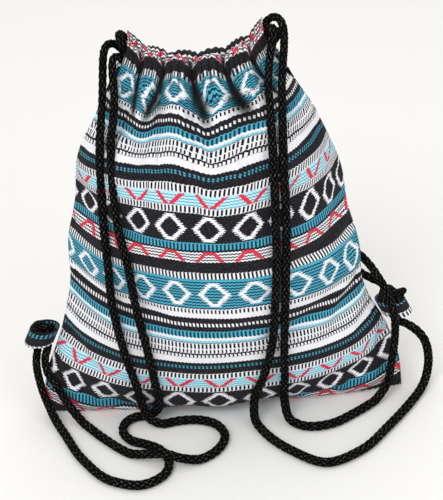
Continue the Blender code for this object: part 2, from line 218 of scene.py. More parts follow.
cordSettings = {
    "diameter": 0.0077, "around": 26, "step": 0.00095, "routeSteps": 6000, "pathEvery": 12,
    "strands": 6, "strandPitch": 0.0074, "ridge": 1.2, "relief": 0.0014, "floorGap": 0.0003,
    "capShare": 0.12, "capHeight": 0.4, "fullDiameter": 0.0086, "fullUpTo": (0.3, 0.34),
    "looseDiameter": 0.0094, "looseFront": (0.032, 0.044), "looseHeight": (0.03, 0.048),
    "looseSide": (0.188, 0.196), "startAcross": (0.31, 0.2, 1.0),
    "left": {
        "exit": (-0.1745, -0.0035, 0.069), "channelSide": 10.7,
        "fromTab": [
          (-173.5, -2.2, 78.5), (-174.5, -3.5, 69), (-178, -10.7, 60), (-176.5, -20.5, 50),
          (-167.5, -29.5, 37), (-158, -38, 20), (-146, -49, 7), (-124, -76, 4.2), (-96, -104, 5),
          (-78, -114, 10.8), (-61, -120, 14.6), (-44, -124, 10.4), (-26.2, -120.4, 5.2), (-10, -108, 4.2),
          (-2, -88, 4.2), (-10, -69, 4.2), (-27, -60, 4.2), (-46, -59, 4.2), (-63, -62, 5), (-75, -61, 11),
          (-81, -60, 26), (-85, -60, 50), (-93, -57, 90), (-100, -49, 140), (-100, -44, 190),
          (-100, -37, 230), (-98, -29, 270), (-95, -24, 308), (-91.5, -24, 329), (-88.5, -23, 348),
          (-86.5, -20.5, 364), (-85.2, -16.8, 376), (-84.2, -11.5, 384), (-82.5, -4.5, 389.3),
          (-79.5, 2.5, 390.5), (-75, 8, 388.5), (-70.6, 10.7, 384.1)],
        "channel": [
          (-66.3, 378.4), (-61.7, 373.1), (-55.2, 367.5), (-40.5, 359.2), (-20.3, 353.6), (0, 352.4),
          (20.7, 354.4), (40.6, 360.9), (55.1, 370), (61.2, 376), (65.6, 381.5)],
        "turn": [
          (68.3, 10, 386.5), (71.5, 6.8, 390), (72.8, 0, 391.2), (71.5, -6.8, 390), (68.3, -10, 386.5)],
        "toTab": [
          (-69.5, -11.5, 383.2), (-73, -14.5, 385.5), (-75.2, -19, 384.5), (-76.2, -23, 379.5),
          (-76.5, -25.8, 372), (-76.8, -26.8, 362), (-77.3, -27, 349), (-80.5, -28, 330), (-84, -28, 313),
          (-87, -36, 268), (-86, -48, 229), (-80, -56, 185), (-77, -60, 145), (-71, -63, 100),
          (-67, -62, 60), (-65, -58, 33), (-68, -53, 16), (-78, -48, 7), (-91, -48, 4.2), (-101, -56, 4.2),
          (-103, -71, 4.2), (-95, -84, 4.2), (-80, -92, 4.2), (-66, -102, 4.2), (-58, -118, 4.2),
          (-61, -137, 4.2), (-81, -151, 4.2), (-112, -143, 4.2), (-142, -108, 4.2), (-164, -62, 4.2),
          (-176, -38, 12), (-184.5, -24, 35), (-187, -11, 59), (-184.8, -5, 69), (-184.3, -3.5, 78.5)]},
    "right": {
        "exit": (0.18, -0.003, 0.069), "channelSide": -10.7,
        "fromTab": [
          (177.5, -2.2, 78.5), (180, -3, 69), (188.5, -4.8, 65.5), (198.5, -6, 58), (207.5, -8, 46),
          (211, -15, 28), (206, -28, 11), (193, -48, 4.2), (160, -91, 4.2), (128, -125, 4.2),
          (94, -139, 4.2), (62, -118, 4.2), (39, -90, 4.2), (29, -68, 8), (30, -60.5, 26), (40, -65, 56),
          (49, -67.8, 90), (55, -67, 140), (59, -63, 185), (60, -59, 226), (61, -52, 260),
          (61.5, -43, 290), (61.5, -34.5, 318), (61.4, -31, 339.3), (61, -29, 353.5), (62, -27.5, 366),
          (63.5, -26.8, 377), (65, -26, 387), (66.8, -24, 395.5), (68, -20.7, 401), (67.8, -16.5, 403),
          (66, -12.8, 401), (63.3, -10.8, 396.8)],
        "channel": [
          (61.2, 391.6), (58.2, 386.8), (54.4, 382.2), (49.1, 377), (36.8, 369.2), (19, 363.4), (0, 361.6),
          (-18.9, 362.7), (-36.9, 367.7), (-49.7, 374.9), (-55.2, 379.6), (-59.1, 384.1), (-62.2, 388.5)],
        "turn": [
          (-64.8, -10.3, 393), (-67, -8.1, 396.9), (-68.4, -4.3, 399), (-68.8, 0, 399.8),
          (-68.4, 4.3, 399), (-67, 8.1, 396.9), (-64.8, 10.3, 393)],
        "toTab": [
          (63.5, 10.2, 397), (67, 8.2, 401.5), (71, 4, 404.3), (74.5, -1.5, 404.8), (77, -7.5, 402.2),
          (78, -12.5, 395.5), (77.3, -17.5, 386), (75.8, -21.7, 374.5), (74.3, -24.5, 363),
          (73.3, -26, 350), (72.8, -27.7, 336), (72.2, -30.5, 317), (71.5, -35.5, 300), (70.5, -48.5, 260),
          (70, -55.5, 222), (68, -60, 185), (65, -64, 140), (62, -65, 90), (61, -61, 45), (60, -60, 20),
          (63, -70, 7), (78, -82, 4.2), (102, -82, 4.2), (128, -68, 4.2), (152, -50, 5.5), (165, -40, 18),
          (171, -32, 40), (175, -26, 64), (175, -22, 88), (170, -16, 108), (162, -6, 123), (154, 7, 132),
          (145, 20, 137), (136, 30, 137), (130, 35, 129), (134, 35, 118), (145, 31, 110), (158, 22, 105),
          (169, 11, 105)]}}


def lengthsAlong(points):
    return np.concatenate([[0.0], np.cumsum(np.linalg.norm(np.diff(points, axis=0), axis=1))])


def wholeRoute(spec):
    there = [(across, spec["channelSide"], up) for across, up in spec["channel"]]
    back = [(across, -side, up) for across, side, up in reversed(there)]
    return spec["fromTab"] + there + spec["turn"] + back + spec["toTab"]


def smoothRoute(route, c):
    line = np.array(route) / 1000
    run = lengthsAlong(line)
    dense = np.linspace(0, run[-1], c["routeSteps"])
    points = np.stack([spreadSteps(list(zip(run, line[:, axis])), dense) for axis in range(3)], 1)
    points[:, 2] = np.maximum(points[:, 2], cordDiameters(points, c) / 2 + c["floorGap"])
    return evenPoints(points, c["step"])


# Thin where the channels press the cord, full where it hangs, thickest where it lies slack

def cordDiameters(points, c):
    full = 1 - smoothStep(*c["fullUpTo"], points[:, 2])
    lying = smoothStep(*c["looseFront"], -points[:, 1]) * (1 - smoothStep(*c["looseHeight"], points[:, 2]))
    loose = np.maximum(lying, smoothStep(*c["looseSide"], points[:, 0]))
    diameters = c["diameter"] + (c["fullDiameter"] - c["diameter"]) * full
    return diameters + (c["looseDiameter"] - c["fullDiameter"]) * loose


def evenPoints(points, step):
    run = lengthsAlong(points)
    places = np.linspace(0, run[-1], int(round(run[-1] / step)) + 1)
    return np.stack([np.interp(places, run, points[:, axis]) for axis in range(3)], 1)


# Two directions across a line at each point, carried along it without twist

def frameAlong(points, startAcross, closed):
    if closed:
        along = np.roll(points, -1, 0) - np.roll(points, 1, 0)
    else:
        along = np.gradient(points, axis=0)
    along /= np.linalg.norm(along, axis=1)[:, None]
    across = np.zeros_like(points)
    start = np.cross(along[0], startAcross)
    across[0] = start / np.linalg.norm(start)
    for i in range(1, len(points)):
        side = across[i - 1] - along[i] * np.dot(across[i - 1], along[i])
        across[i] = side / np.linalg.norm(side)
    if closed:
        last = across[-1] - along[0] * np.dot(across[-1], along[0])
        last /= np.linalg.norm(last)
        turn = math.atan2(np.dot(np.cross(last, across[0]), along[0]), np.dot(last, across[0]))
        angles = turn * np.arange(len(points)) / len(points)
        second = np.cross(along, across)
        across = across * np.cos(angles)[:, None] + second * np.sin(angles)[:, None]
    return along, across, np.cross(along, across)


# The braid attribute holds the way along the cord, and how high on a strand a point lies

def braidTube(name, points, diameters, c, closed=False):
    along, across, outward = frameAlong(points, c["startAcross"], closed)
    around = c["around"]
    run = lengthsAlong(points)
    angle = np.linspace(0, 2 * math.pi, around, endpoint=False)
    pitch = c["strandPitch"]
    if closed:
        whole = run[-1] + np.linalg.norm(points[0] - points[-1])
        pitch = whole / round(whole / pitch)
    turning, advancing = c["strands"] * angle[None, :] / 2, math.pi * run[:, None] / pitch
    left, right = np.cos(turning + advancing), np.cos(turning - advancing)
    height = np.where(left * right > 0, np.abs(left), np.abs(right)) ** c["ridge"]
    radius = diameters[:, None] / 2 - c["relief"] * (1 - height)
    body = (points[:, None, :] + across[:, None, :] * (np.cos(angle)[None, :] * radius)[..., None]
            + outward[:, None, :] * (np.sin(angle)[None, :] * radius)[..., None])
    coords = body.reshape(-1, 3)
    rings = np.arange(len(coords)).reshape(-1, around)
    rings = np.column_stack([rings, rings[:, 0]])
    values = np.column_stack([np.repeat(run, around), height.ravel(), np.zeros(len(coords))])
    if closed:
        faces = gridFaces(np.vstack([rings, rings[:1]]))
    else:
        cap = diameters[0] * c["capShare"]
        head, tail = len(coords), len(coords) + 1
        coords = np.vstack([coords, points[0] - along[0] * cap, points[-1] + along[-1] * cap])
        values = np.vstack([values, [(0, c["capHeight"], 0)] * 2])
        first, last = rings[0].tolist(), rings[-1].tolist()
        faces = gridFaces(rings)
        faces += [(head, first[i + 1], first[i]) for i in range(around)]
        faces += [(tail, last[i], last[i + 1]) for i in range(around)]
    obj = meshObject(name, coords, faces)
    addVectors(obj, "braid", values)
    return obj


# Woven cotton, one material for every piece cut from it, with the pattern in millimetres.
# A ground is (start, color), a tick or wave row (from, to, color, ...share that is colored),
# a diamond (middle, color, outer half width, half height and cut, then the same of its hole),
# and a vee or arch row (from, to, color, foot, slope, half width of its line, then its flat top).

clothSettings = {
    "repeat": 213.8, "motifPitch": 37.5, "tick": 3.75, "tickShift": 0.25, "phase": 18.75,
    "stepAcross": 0.95, "stepUp": 1.75, "edgeWave": 0.4, "roughness": 0.92, "creaseDark": 1.0,
    "weavePitch": 1.25, "weaveTwist": 1.5, "ribs": 0.5, "picks": 0.35, "fibre": 0.8,
    "weaveHeight": 0.00026, "bump": 0.7, "sheen": 0.03, "sheenRoughness": 0.6,
    "fleckScale": (900.0, 700.0, 0.0), "mottleScale": 38.0, "detail": 2.0,
    "shade": 0.8, "fleckShade": 0.28, "mottleShade": 0.12,
    "saltFrom": 0.54, "saltSharp": 9.0, "saltShare": 0.045,
    "comb": 2.3, "combOut": 2.0, "combIn": 0.9,
    "black": (21, 18, 25), "deep": (10, 8, 13), "white": (240, 241, 246), "teal": (72, 172, 200),
    "darkTeal": (8, 44, 60), "blue": (140, 208, 230), "pale": (196, 234, 244), "red": (222, 48, 72),
    "grounds": (
        (0.0, "black"), (11.75, "deep"), (24.4, "teal"), (33.0, "black"), (64.0, "deep"), (65.0, "white"),
        (72.0, "pale"), (85.7, "white"), (93.0, "black"), (110.0, "white"), (117.7, "deep"),
        (123.5, "white"), (136.0, "darkTeal"), (136.7, "blue"), (139.3, "white"), (142.0, "teal"),
        (149.0, "black"), (163.0, "white"), (173.4, "teal"), (206.3, "white")),
    "ticks": (
        (24.9, 32.4, "darkTeal", 0.5), (65.6, 72.0, "deep", 0.5), (86.2, 93.0, "deep", 0.5),
        (101.9, 103.3, "teal", 0.5), (104.1, 105.5, "teal", 0.5), (118.0, 121.7, "white", 0.62),
        (124.0, 128.4, "deep", 0.42), (129.8, 135.6, "deep", 0.5), (142.4, 148.6, "darkTeal", 0.5),
        (154.6, 158.1, "white", 0.55), (168.8, 172.9, "deep", 0.45), (206.9, 213.6, "deep", 0.5)),
    "waves": (
        (12.0, 24.2, "white", 3.05, 0.56), (72.6, 85.2, "teal", 3.1, 0.4),
        (173.8, 205.9, "darkTeal", 3.2, 0.46)),
    "diamonds": (
        (48.5, "white", 15.0, 17.4, 14.0, 11.3, 13.0, 10.6),
        (189.9, "white", 14.6, 16.2, 12.8, 10.6, 12.0, 9.6)),
    "vees": ((72.9, 84.9, "red", 1.8, 0.9, 2.6),),
    "arches": ((12.2, 23.7, "red", 12.0, 0.82, 2.4, 20.6, 5.4),)}


def linear(color, c=clothSettings):
    values = [v / 255 for v in (c[color] if isinstance(color, str) else color)]
    return tuple(v / 12.92 if v <= 0.04045 else ((v + 0.055) / 1.055) ** 2.4 for v in values) + (1.0,)


def patternColor(flatAcross, flatUp, c):
    across = ((flatAcross / c["stepAcross"]).floor() + 0.5) * c["stepAcross"]
    wave = (flatAcross * (2 * math.pi / c["tick"])).sin()
    up = (flatUp + wave * c["edgeWave"]).wrap(c["repeat"])
    rows = ((flatUp.wrap(c["repeat"]) / c["stepUp"]).floor() + 0.5) * c["stepUp"]
    stops = [(start / c["repeat"], linear(color)) for start, color in c["grounds"]]
    color = up.node("ShaderNodeValToRGB", (up / c["repeat"],), {"stops": stops})
    bars = (flatAcross / c["tick"] + c["tickShift"]).fract()
    for low, high, tone, share in c["ticks"]:
        color = blendColor((bars < share) * up.between(low, high), color, linear(tone))
    for low, high, tone, pitch, share in c["waves"]:
        line = ((up - low) / pitch).fract()
        color = blendColor((line < share) * up.between(low, high), color, linear(tone))
    aside = ((across / c["motifPitch"]).fract() - 0.5).abs() * c["motifPitch"]
    comb = (flatUp / c["comb"]).fract() < 0.5
    asideOut, asideIn = aside - comb * c["combOut"], aside + comb * c["combIn"]
    for middle, tone, wide, tall, flat, innerWide, innerTall, innerFlat in c["diamonds"]:
        away = (rows - middle).abs()
        outer = (asideOut / wide + away / tall < 1.0) * (away < flat)
        inner = (asideIn / innerWide + away / innerTall < 1.0) * (away < innerFlat)
        color = blendColor(outer * (1.0 - inner), color, linear(tone))
    for low, high, tone, foot, slope, half in c["vees"]:
        arm = (aside - (rows - low) * slope - foot).abs() < half
        color = blendColor(arm * up.between(low, high), color, linear(tone))
    for low, high, tone, foot, slope, half, top, topHalf in c["arches"]:
        arm = (aside - foot + (rows - low) * slope).abs() < half
        shape = arm.most((rows > top) * (aside < topHalf))
        color = blendColor(shape * up.between(low, high), color, linear(tone))
    return color


# The cloth attribute holds the place on the flat cloth in metres, and how strongly painted crease shade
# darkens it

def clothMaterial(name, c):
    material, tree, shader = startMaterial(name, c["roughness"])
    source = attributeSocket(tree, "cloth")
    metresAcross, metresUp, paintedCreaseShade = source.parts()
    flatAcross = metresAcross * 1000.0 + c["phase"]
    flatUp = metresUp * 1000.0
    place = source.node("ShaderNodeVectorMath", (source, c["fleckScale"]), {"operation": "MULTIPLY"})
    fleck = place.noise(1.0, c["detail"])
    mottle = source.noise(c["mottleScale"], c["detail"])
    salt = ((fleck - c["saltFrom"]) * c["saltSharp"]).clamp() * c["saltShare"]
    color = blendColor(salt, patternColor(flatAcross, flatUp, c), linear("white"))
    shade = c["shade"] + fleck * c["fleckShade"] + mottle * c["mottleShade"]
    # Painted shade: the colour is darkened in the creases and between the ruffles at the mouth
    shade = shade * (1.0 - paintedCreaseShade * c["creaseDark"])
    color = source.node("ShaderNodeVectorMath", {0: color, "Scale": shade}, {"operation": "SCALE"})
    tree.links.new(color.out, shader.inputs["Base Color"])
    ribs = (flatAcross * (2 * math.pi / c["weavePitch"])).sin()
    twist = (flatAcross / c["weavePitch"] * math.pi).sin() * c["weaveTwist"]
    picks = (flatUp * (2 * math.pi / c["weavePitch"]) + twist).sin()
    relief = (ribs * c["ribs"] + picks * c["picks"] + fleck * c["fibre"]) * c["weaveHeight"]
    tree.links.new(relief.bump(c["bump"]).out, shader.inputs["Normal"])
    shader.inputs["Sheen Weight"].default_value = c["sheen"]
    shader.inputs["Sheen Roughness"].default_value = c["sheenRoughness"]
    return material


# Black braided cotton, with painted shade between the strands and a painted highlight on their crests, broken
# up by specks of lighter fibre

braidLooks = {
    # low is painted shade between the strands, middle the cord's own colour on the strands, high a painted
    # highlight on their crests
    "roughness": 0.9, "specular": 0.04, "low": (0, 0, 0), "middle": (10, 10, 9), "high": (92, 90, 87),
    "fuzz": 0.0003, "fuzzScale": 1500.0, "fuzzDetail": 3.0, "bump": 0.8,
    "speckScale": 480.0, "speckDetail": 2.0, "speckFrom": 0.45, "speckSharp": 5.0, "speckShare": 0.85,
    "paintedHighlightFrom": 0.72, "paintedHighlightSharp": 4.0}


def braidMaterial(name, c):
    material, tree, shader = startMaterial(name, c["roughness"], c["specular"])
    height = attributeSocket(tree, "braid").parts()[1]
    place = Socket(tree, tree.nodes.new("ShaderNodeTexCoord").outputs["Object"])
    hair = place.noise(c["speckScale"], c["speckDetail"])
    speck = ((hair - c["speckFrom"]) * c["speckSharp"]).clamp() * c["speckShare"] + (1 - c["speckShare"])
    # Painted highlight on the strand crests, broken up by lighter fibre specks, over painted shade that
    # darkens toward the hollows between the strands
    crest = ((height - c["paintedHighlightFrom"]) * c["paintedHighlightSharp"]).clamp() * speck
    body = blendColor(height, linear(c["low"]), linear(c["middle"]))
    tree.links.new(blendColor(crest, body, linear(c["high"])).out, shader.inputs["Base Color"])
    fuzz = place.noise(c["fuzzScale"], c["fuzzDetail"]) * c["fuzz"]
    tree.links.new(fuzz.bump(c["bump"]).out, shader.inputs["Normal"])
    return material


# The two cloth panels, filled and gathered. Tables of pairs run over height in metres ("side", "depth")
# or over the share of the way from the bottom seam to the rim, and places across run from -1 to 1.
# Depths, sags and lifts at the mouth are in millimetres, and so are places on the flat cloth.

panelSettings = {
    "columns": 240, "rows": 150, "cloth": 0.0012, "seamGap": 0.0003, "channelTurns": 10,
    "channelDrops": 14, "rowPower": 1.05, "fineSteps": 801,
    "side": ((0, 0.1825), (0.04, 0.179), (0.07, 0.168), (0.095, 0.156), (0.125, 0.146),
             (0.16, 0.14), (0.205, 0.1355), (0.25, 0.127), (0.29, 0.114), (0.33, 0.0945),
             (0.365, 0.074), (0.4, 0.058)),
    "depth": ((0, 0.034), (0.012, 0.045), (0.04, 0.056), (0.085, 0.0625), (0.15, 0.064),
              (0.21, 0.059), (0.26, 0.049), (0.305, 0.035), (0.33, 0.025), (0.4, 0.0181)),
    "baseDepth": 0.034, "baseFade": 3.0, "bellyFade": 2.7, "cornerForward": 0.02, "cornerFade": 4.0,
    "cornerHeight": 0.1, "rimMiddle": 0.364, "rimEnd": 0.394, "rimTilt": 0.0015, "rimPower": 2.2,
    "channelDepth": 0.03, "channelClear": 0.0096, "channelMiddle": 0.0107, "flapGap": 0.0009,
    "flapStraight": 0.74, "openFrom": 0.86, "openFull": 0.95, "grownHeight": 0.06,
    "pleatDepth": 0.014, "pleatRound": 2.4, "frontLift": 0.0075, "backLift": 0.0012, "valleyFade": 1.6,
    "pleatReach": 0.062, "pleatRim": 0.55, "pleatFrom": 0.3, "pleatFull": 0.6,
    "gatherCount": 21, "gatherDepth": 0.0011, "gatherReach": 0.03, "gatherBend": 1.3, "gatherBends": 9.0,
    "lumpDepth": 0.003, "lumpsUp": ((0.0, 0.12), (0.8, 0.92)),
    "lumps": ((1, 5.1, 6.3, 1, -2.2, 9.0), (0.6, 9.7, -7.0, 2, 4.0, 15.0)),
    "frontPleats": ((-0.84, 0.16, 0.35), (-0.545, 0.14, 1), (-0.235, 0.17, 0.95), (0.125, 0.19, 1.05),
                    (0.48, 0.18, 0.9), (0.83, 0.18, 0.35)),
    "ruffleCount": 27, "ruffleBend": 1.6, "ruffleBends": 13.0, "ruffleFrom": 0.945, "ruffleFull": 0.985,
    "ruffleHeight": 0.0017, "ruffleDark": 0.85, "ruffleSharp": 3,
    # Painted crease shade: its strength up the panel, the sharpness of its edges, and each crease's path and
    # half width across; the creases also pull the pattern (creaseSag)
    "creaseDark": ((0.8, 0), (0.865, 0.1), (0.89, 0.9), (0.9, 1.0), (1, 1)), "creaseEdge": 3.0,
    "creaseSagWidth": 1.5, "creaseSag": ((0.87, 0), (0.92, 3), (0.955, 8), (0.985, 9), (1, 5)),
    "creases": (
        (((0.86, -0.52), (0.92, -0.47), (1, -0.41)), ((0.86, 0.03), (0.93, 0.05), (1, 0.034))),
        (((0.86, 0.04), (0.92, -0.005), (1, -0.097)),
         ((0.86, 0.03), (0.92, 0.074), (0.96, 0.066), (1, 0.04))),
        (((0.86, 0.42), (0.91, 0.37), (1, 0.285)),
         ((0.86, 0.04), (0.91, 0.095), (0.95, 0.055), (1, 0.03))),
        (((0.86, -0.6), (0.94, -0.68), (1, -0.73)), ((0.86, 0.02), (0.93, 0.034), (1, 0.026))),
        (((0.86, 0.76), (1, 0.66)), ((0.86, 0.02), (0.93, 0.034), (1, 0.026)))),
    "valleys": (
        {"path": ((0.8, -0.51), (0.9, -0.51), (0.93, -0.52), (0.96, -0.66), (1, -0.69)), "width": 0.11,
         "sag": ((0.74, 0), (0.8, 3), (0.862, 10), (0.9, 15), (0.93, 9), (0.96, 0)),
         "depth": ((0.75, 0), (0.85, 4), (0.9, 8), (0.915, 6), (0.934, 0), (1, 0))},
        {"path": ((0.6, 0.04), (0.9, 0.02), (0.93, 0.0), (0.96, -0.05), (1, -0.06)), "width": 0.14,
         "sag": ((0.6, 0), (0.66, 3), (0.752, 8), (0.8, 13), (0.862, 17), (0.9, 21), (0.93, 12),
                 (0.96, 0)),
         "depth": ((0.62, 0), (0.8, 5), (0.88, 9), (0.9, 10), (0.915, 7), (0.934, 0), (1, 0))},
        {"path": ((0.8, 0.44), (0.9, 0.4), (0.93, 0.34), (0.96, 0.31), (1, 0.31)), "width": 0.09,
         "sag": ((0.82, 0), (0.862, 3), (0.9, 5), (0.93, 3), (0.96, 0)),
         "depth": ((0.72, 0), (0.86, 4), (0.9, 7), (0.915, 5), (0.934, 0), (1, 0))},
        {"path": ((0.8, -0.36), (1, -0.4)), "width": 0.06, "sag": ((0.9, 0), (0.94, 2), (0.97, 0)),
         "depth": ((0.84, 0), (0.9, 5), (0.915, 4), (0.934, 0), (1, 0))},
        {"path": ((0.7, 0.74), (0.9, 0.7), (1, 0.66)), "width": 0.08,
         "sag": ((0.8, 0), (0.9, 3), (0.96, 0)),
         "depth": ((0.7, 0), (0.84, 4), (0.9, 6), (0.915, 4), (0.934, 0), (1, 0))}),
    "sagRound": 0.035,
    "crests": ((-0.26, 0.13, ((0.74, 0), (0.8, -3), (0.86, -6), (0.9, -7), (0.96, -7), (1, -1))),
               (0.4, 0.15, ((0.76, 0), (0.82, -3), (0.88, -3), (0.92, 0))),
               (0.125, 0.1, ((0.93, 0), (0.96, -5), (1, -1))),
               (0.62, 0.18, ((0.87, 0), (0.9, -3), (0.93, -8), (0.97, -3), (1, 0)))),
    "backPleats": ((-0.82, 0.14, 0.7), (-0.5, 0.15, 1), (-0.17, 0.14, 0.8), (0.16, 0.15, 0.95),
                   (0.49, 0.14, 0.9), (0.81, 0.15, 0.65)),
    "upAt": (-1, -0.75, -0.45, 0, 0.45, 0.75, 1),
    "up": ((0.00, (-1.3, -0.8, -0.5, -0.5, -0.8, -1.3, -2.0)),
           (0.06, (16.9, 15.9, 16.0, 15.2, 13.6, 14.1, 18.1)),
           (0.12, (40.9, 36.9, 36.5, 35.7, 34.6, 38.3, 46.9)),
           (0.20, (81.8, 71.4, 68.2, 72.8, 78.7, 87.9, 96.3)),
           (0.30, (122.1, 116.3, 114.4, 120.2, 126.9, 137.9, 150.1)),
           (0.45, (178.1, 175.3, 173.4, 177.2, 184.4, 195.2, 205.7)),
           (0.60, (248.9, 238.9, 233.7, 238.6, 245.5, 251.5, 254.0)),
           (0.75, (325.3, 311.6, 303.1, 304.1, 310.1, 314.8, 316.8)),
           (0.87, (374.2, 366.1, 358.8, 357.1, 364.6, 369.9, 373.9)),
           (1.00, (436.1, 435.1, 433.1, 432.9, 435.6, 435.9, 436.1))),
    "acrossAt": (-1, -0.78, -0.52, -0.26, 0, 0.26, 0.52, 0.78, 1),
    "across": ((0.00, (-179.5, -135.2, -84.8, -37.7, 9.7, 58.6, 108.4, 158.0, 199.2)),
               (0.15, (-184.6, -141.8, -90.4, -41.8, 4.7, 51.6, 103.4, 154.3, 193.3)),
               (0.45, (-187.5, -145.5, -94.2, -43.7, 1.6, 41.9, 80.2, 124.8, 169.0)),
               (0.60, (-180.4, -137.8, -87.1, -39.0, 3.2, 44.0, 89.6, 137.4, 193.6)),
               (0.92, (-130.0, -108.0, -80.0, -36.5, -12.5, 12.5, 34.0, 61.5, 87.0)),
               (1.00, (-130.0, -108.0, -80.0, -36.5, -12.5, 12.5, 34.0, 61.5, 87.0))),
    "backShift": -0.006, "sideWave": 0.0016, "sideWaves": (71.0, 43.0), "sideStarts": (0.4, 2.6, 1.1),
    "sideWaveUp": ((0.02, 0.1), (0.3, 0.34)), "edgeFades": {"gather": 6, "lump": 8, "ruffle": 8},
    "stitchOut": 0.0009}


# The place on the flat cloth, read from where the photograph shows the pattern

def clothPlaces(table, at, share, across):
    columns = [[(row, values[i]) for row, values in table] for i in range(len(at))]
    line = [float(spreadSteps(column, share)) for column in columns]
    return spreadSteps(list(zip(at, line)), across) / 1000


def rimHeight(across, c):
    rise = (c["rimEnd"] - c["rimMiddle"]) * np.abs(across) ** c["rimPower"]
    return c["rimMiddle"] + rise + c["rimTilt"] * across


# Each pleat is (place, half width, height)

def pleatShare(across, pleats, power):
    share = np.zeros_like(across)
    for place, half, height in pleats:
        near = np.clip(np.abs(across - place) / half, 0.0, 1.0)
        share = np.maximum(share, height * (1 - near ** power))
    return share


def cornerSwing(place, height, c):
    low = 1 - smoothStep(0, c["cornerHeight"], height)
    return c["cornerForward"] * np.abs(place) ** c["cornerFade"] * low


# Places that lie evenly along the bellied cloth, not along its width

def evenPlaces(height, across, c):
    fine = np.linspace(-1.0, 1.0, c["fineSteps"])
    half = float(spreadSteps(c["side"], height))
    depth = float(spreadSteps(c["depth"], height)) * (1 - np.abs(fine) ** c["bellyFade"])
    run = lengthsAlong(np.stack([fine * half, depth], 1))
    return np.interp((across + 1) / 2 * run[-1], run, fine)


def riseAndFall(low, high, value):
    return smoothStep(*low, value) * (1 - smoothStep(*high, value))


def sideWidth(across, side, height, c):
    (first, second), (left, right, both) = c["sideWaves"], c["sideStarts"]
    wavy = np.sin(height * first + np.where(across * side < 0, left, right)) + np.sin(height * second + both)
    return spreadSteps(c["side"], height) + c["sideWave"] * wavy * riseAndFall(*c["sideWaveUp"], height)


# The filled form: round at the bottom seam, bellied above it, flat at the channel

def filledDepth(across, place, height, under, lying, opening, c):
    belly = (1 - np.abs(place) ** c["bellyFade"]) * (1 - opening) + opening
    base = 1 - np.abs(place) ** c["baseFade"]
    grown = smoothStep(0.0, c["grownHeight"], height)
    depth = spreadSteps(c["depth"], height) * (base * (1 - grown) + belly * grown)
    depth = np.where(lying < 1.0, under * lying, depth)
    outer = c["channelMiddle"] + c["channelClear"] / 2 + c["cloth"] / 2
    return depth * (1 - opening) + outer * opening


# The valleys, creases and crests that the gathered mouth draws into the front panel; the creases are painted
# shade, dark lines in the cloth colour, and also pull the pattern

def frontFolds(across, share, c):
    dent, sag, paintedCreaseShade = np.zeros_like(across), np.zeros_like(across), np.zeros_like(across)
    for valley in c["valleys"]:
        path, sags, depths = (np.interp(share, *zip(*valley[key])) for key in ("path", "sag", "depth"))
        away = np.abs(across - path)
        dent = dent + np.exp(-(away / valley["width"]) ** c["valleyFade"]) * depths / 1000
        rounded = np.hypot(away, c["sagRound"]) - c["sagRound"]
        sag = sag + np.exp(-rounded / valley["width"]) * sags / 1000
    creaseShadeStrength, pull = (np.interp(share, *zip(*c[key])) for key in ("creaseDark", "creaseSag"))
    # Each crease is a line of painted shade in the colour, and pulls the pattern a little
    for path, widths in c["creases"]:
        near = np.abs(across - np.interp(share, *zip(*path))) / np.interp(share, *zip(*widths))
        paintedCreaseShade = np.maximum(paintedCreaseShade, np.exp(-near ** c["creaseEdge"]) * creaseShadeStrength)
        sag = sag + np.exp(-(near / c["creaseSagWidth"]) ** 2) * pull / 1000
    for crest, wide, lifts in c["crests"]:
        sag = sag + np.exp(-((across - crest) / wide) ** 2) * np.interp(share, *zip(*lifts)) / 1000
    return dent, sag, paintedCreaseShade


def bentWaves(across, count, bend, bends, side):
    return np.sin(across * count * math.pi + bend * np.sin(across * bends + side))


# Each lump field is a size and two crossing waves

def lumps(across, share, side, c):
    total = np.zeros_like(across)
    for size, acrossFirst, upFirst, turn, acrossSecond, upSecond in c["lumps"]:
        total += (size * np.sin(across * acrossFirst + share * upFirst + turn * side)
                  * np.sin(share * upSecond + across * acrossSecond))
    return total * (1 - np.abs(across) ** c["edgeFades"]["lump"]) * riseAndFall(*c["lumpsUp"], share)


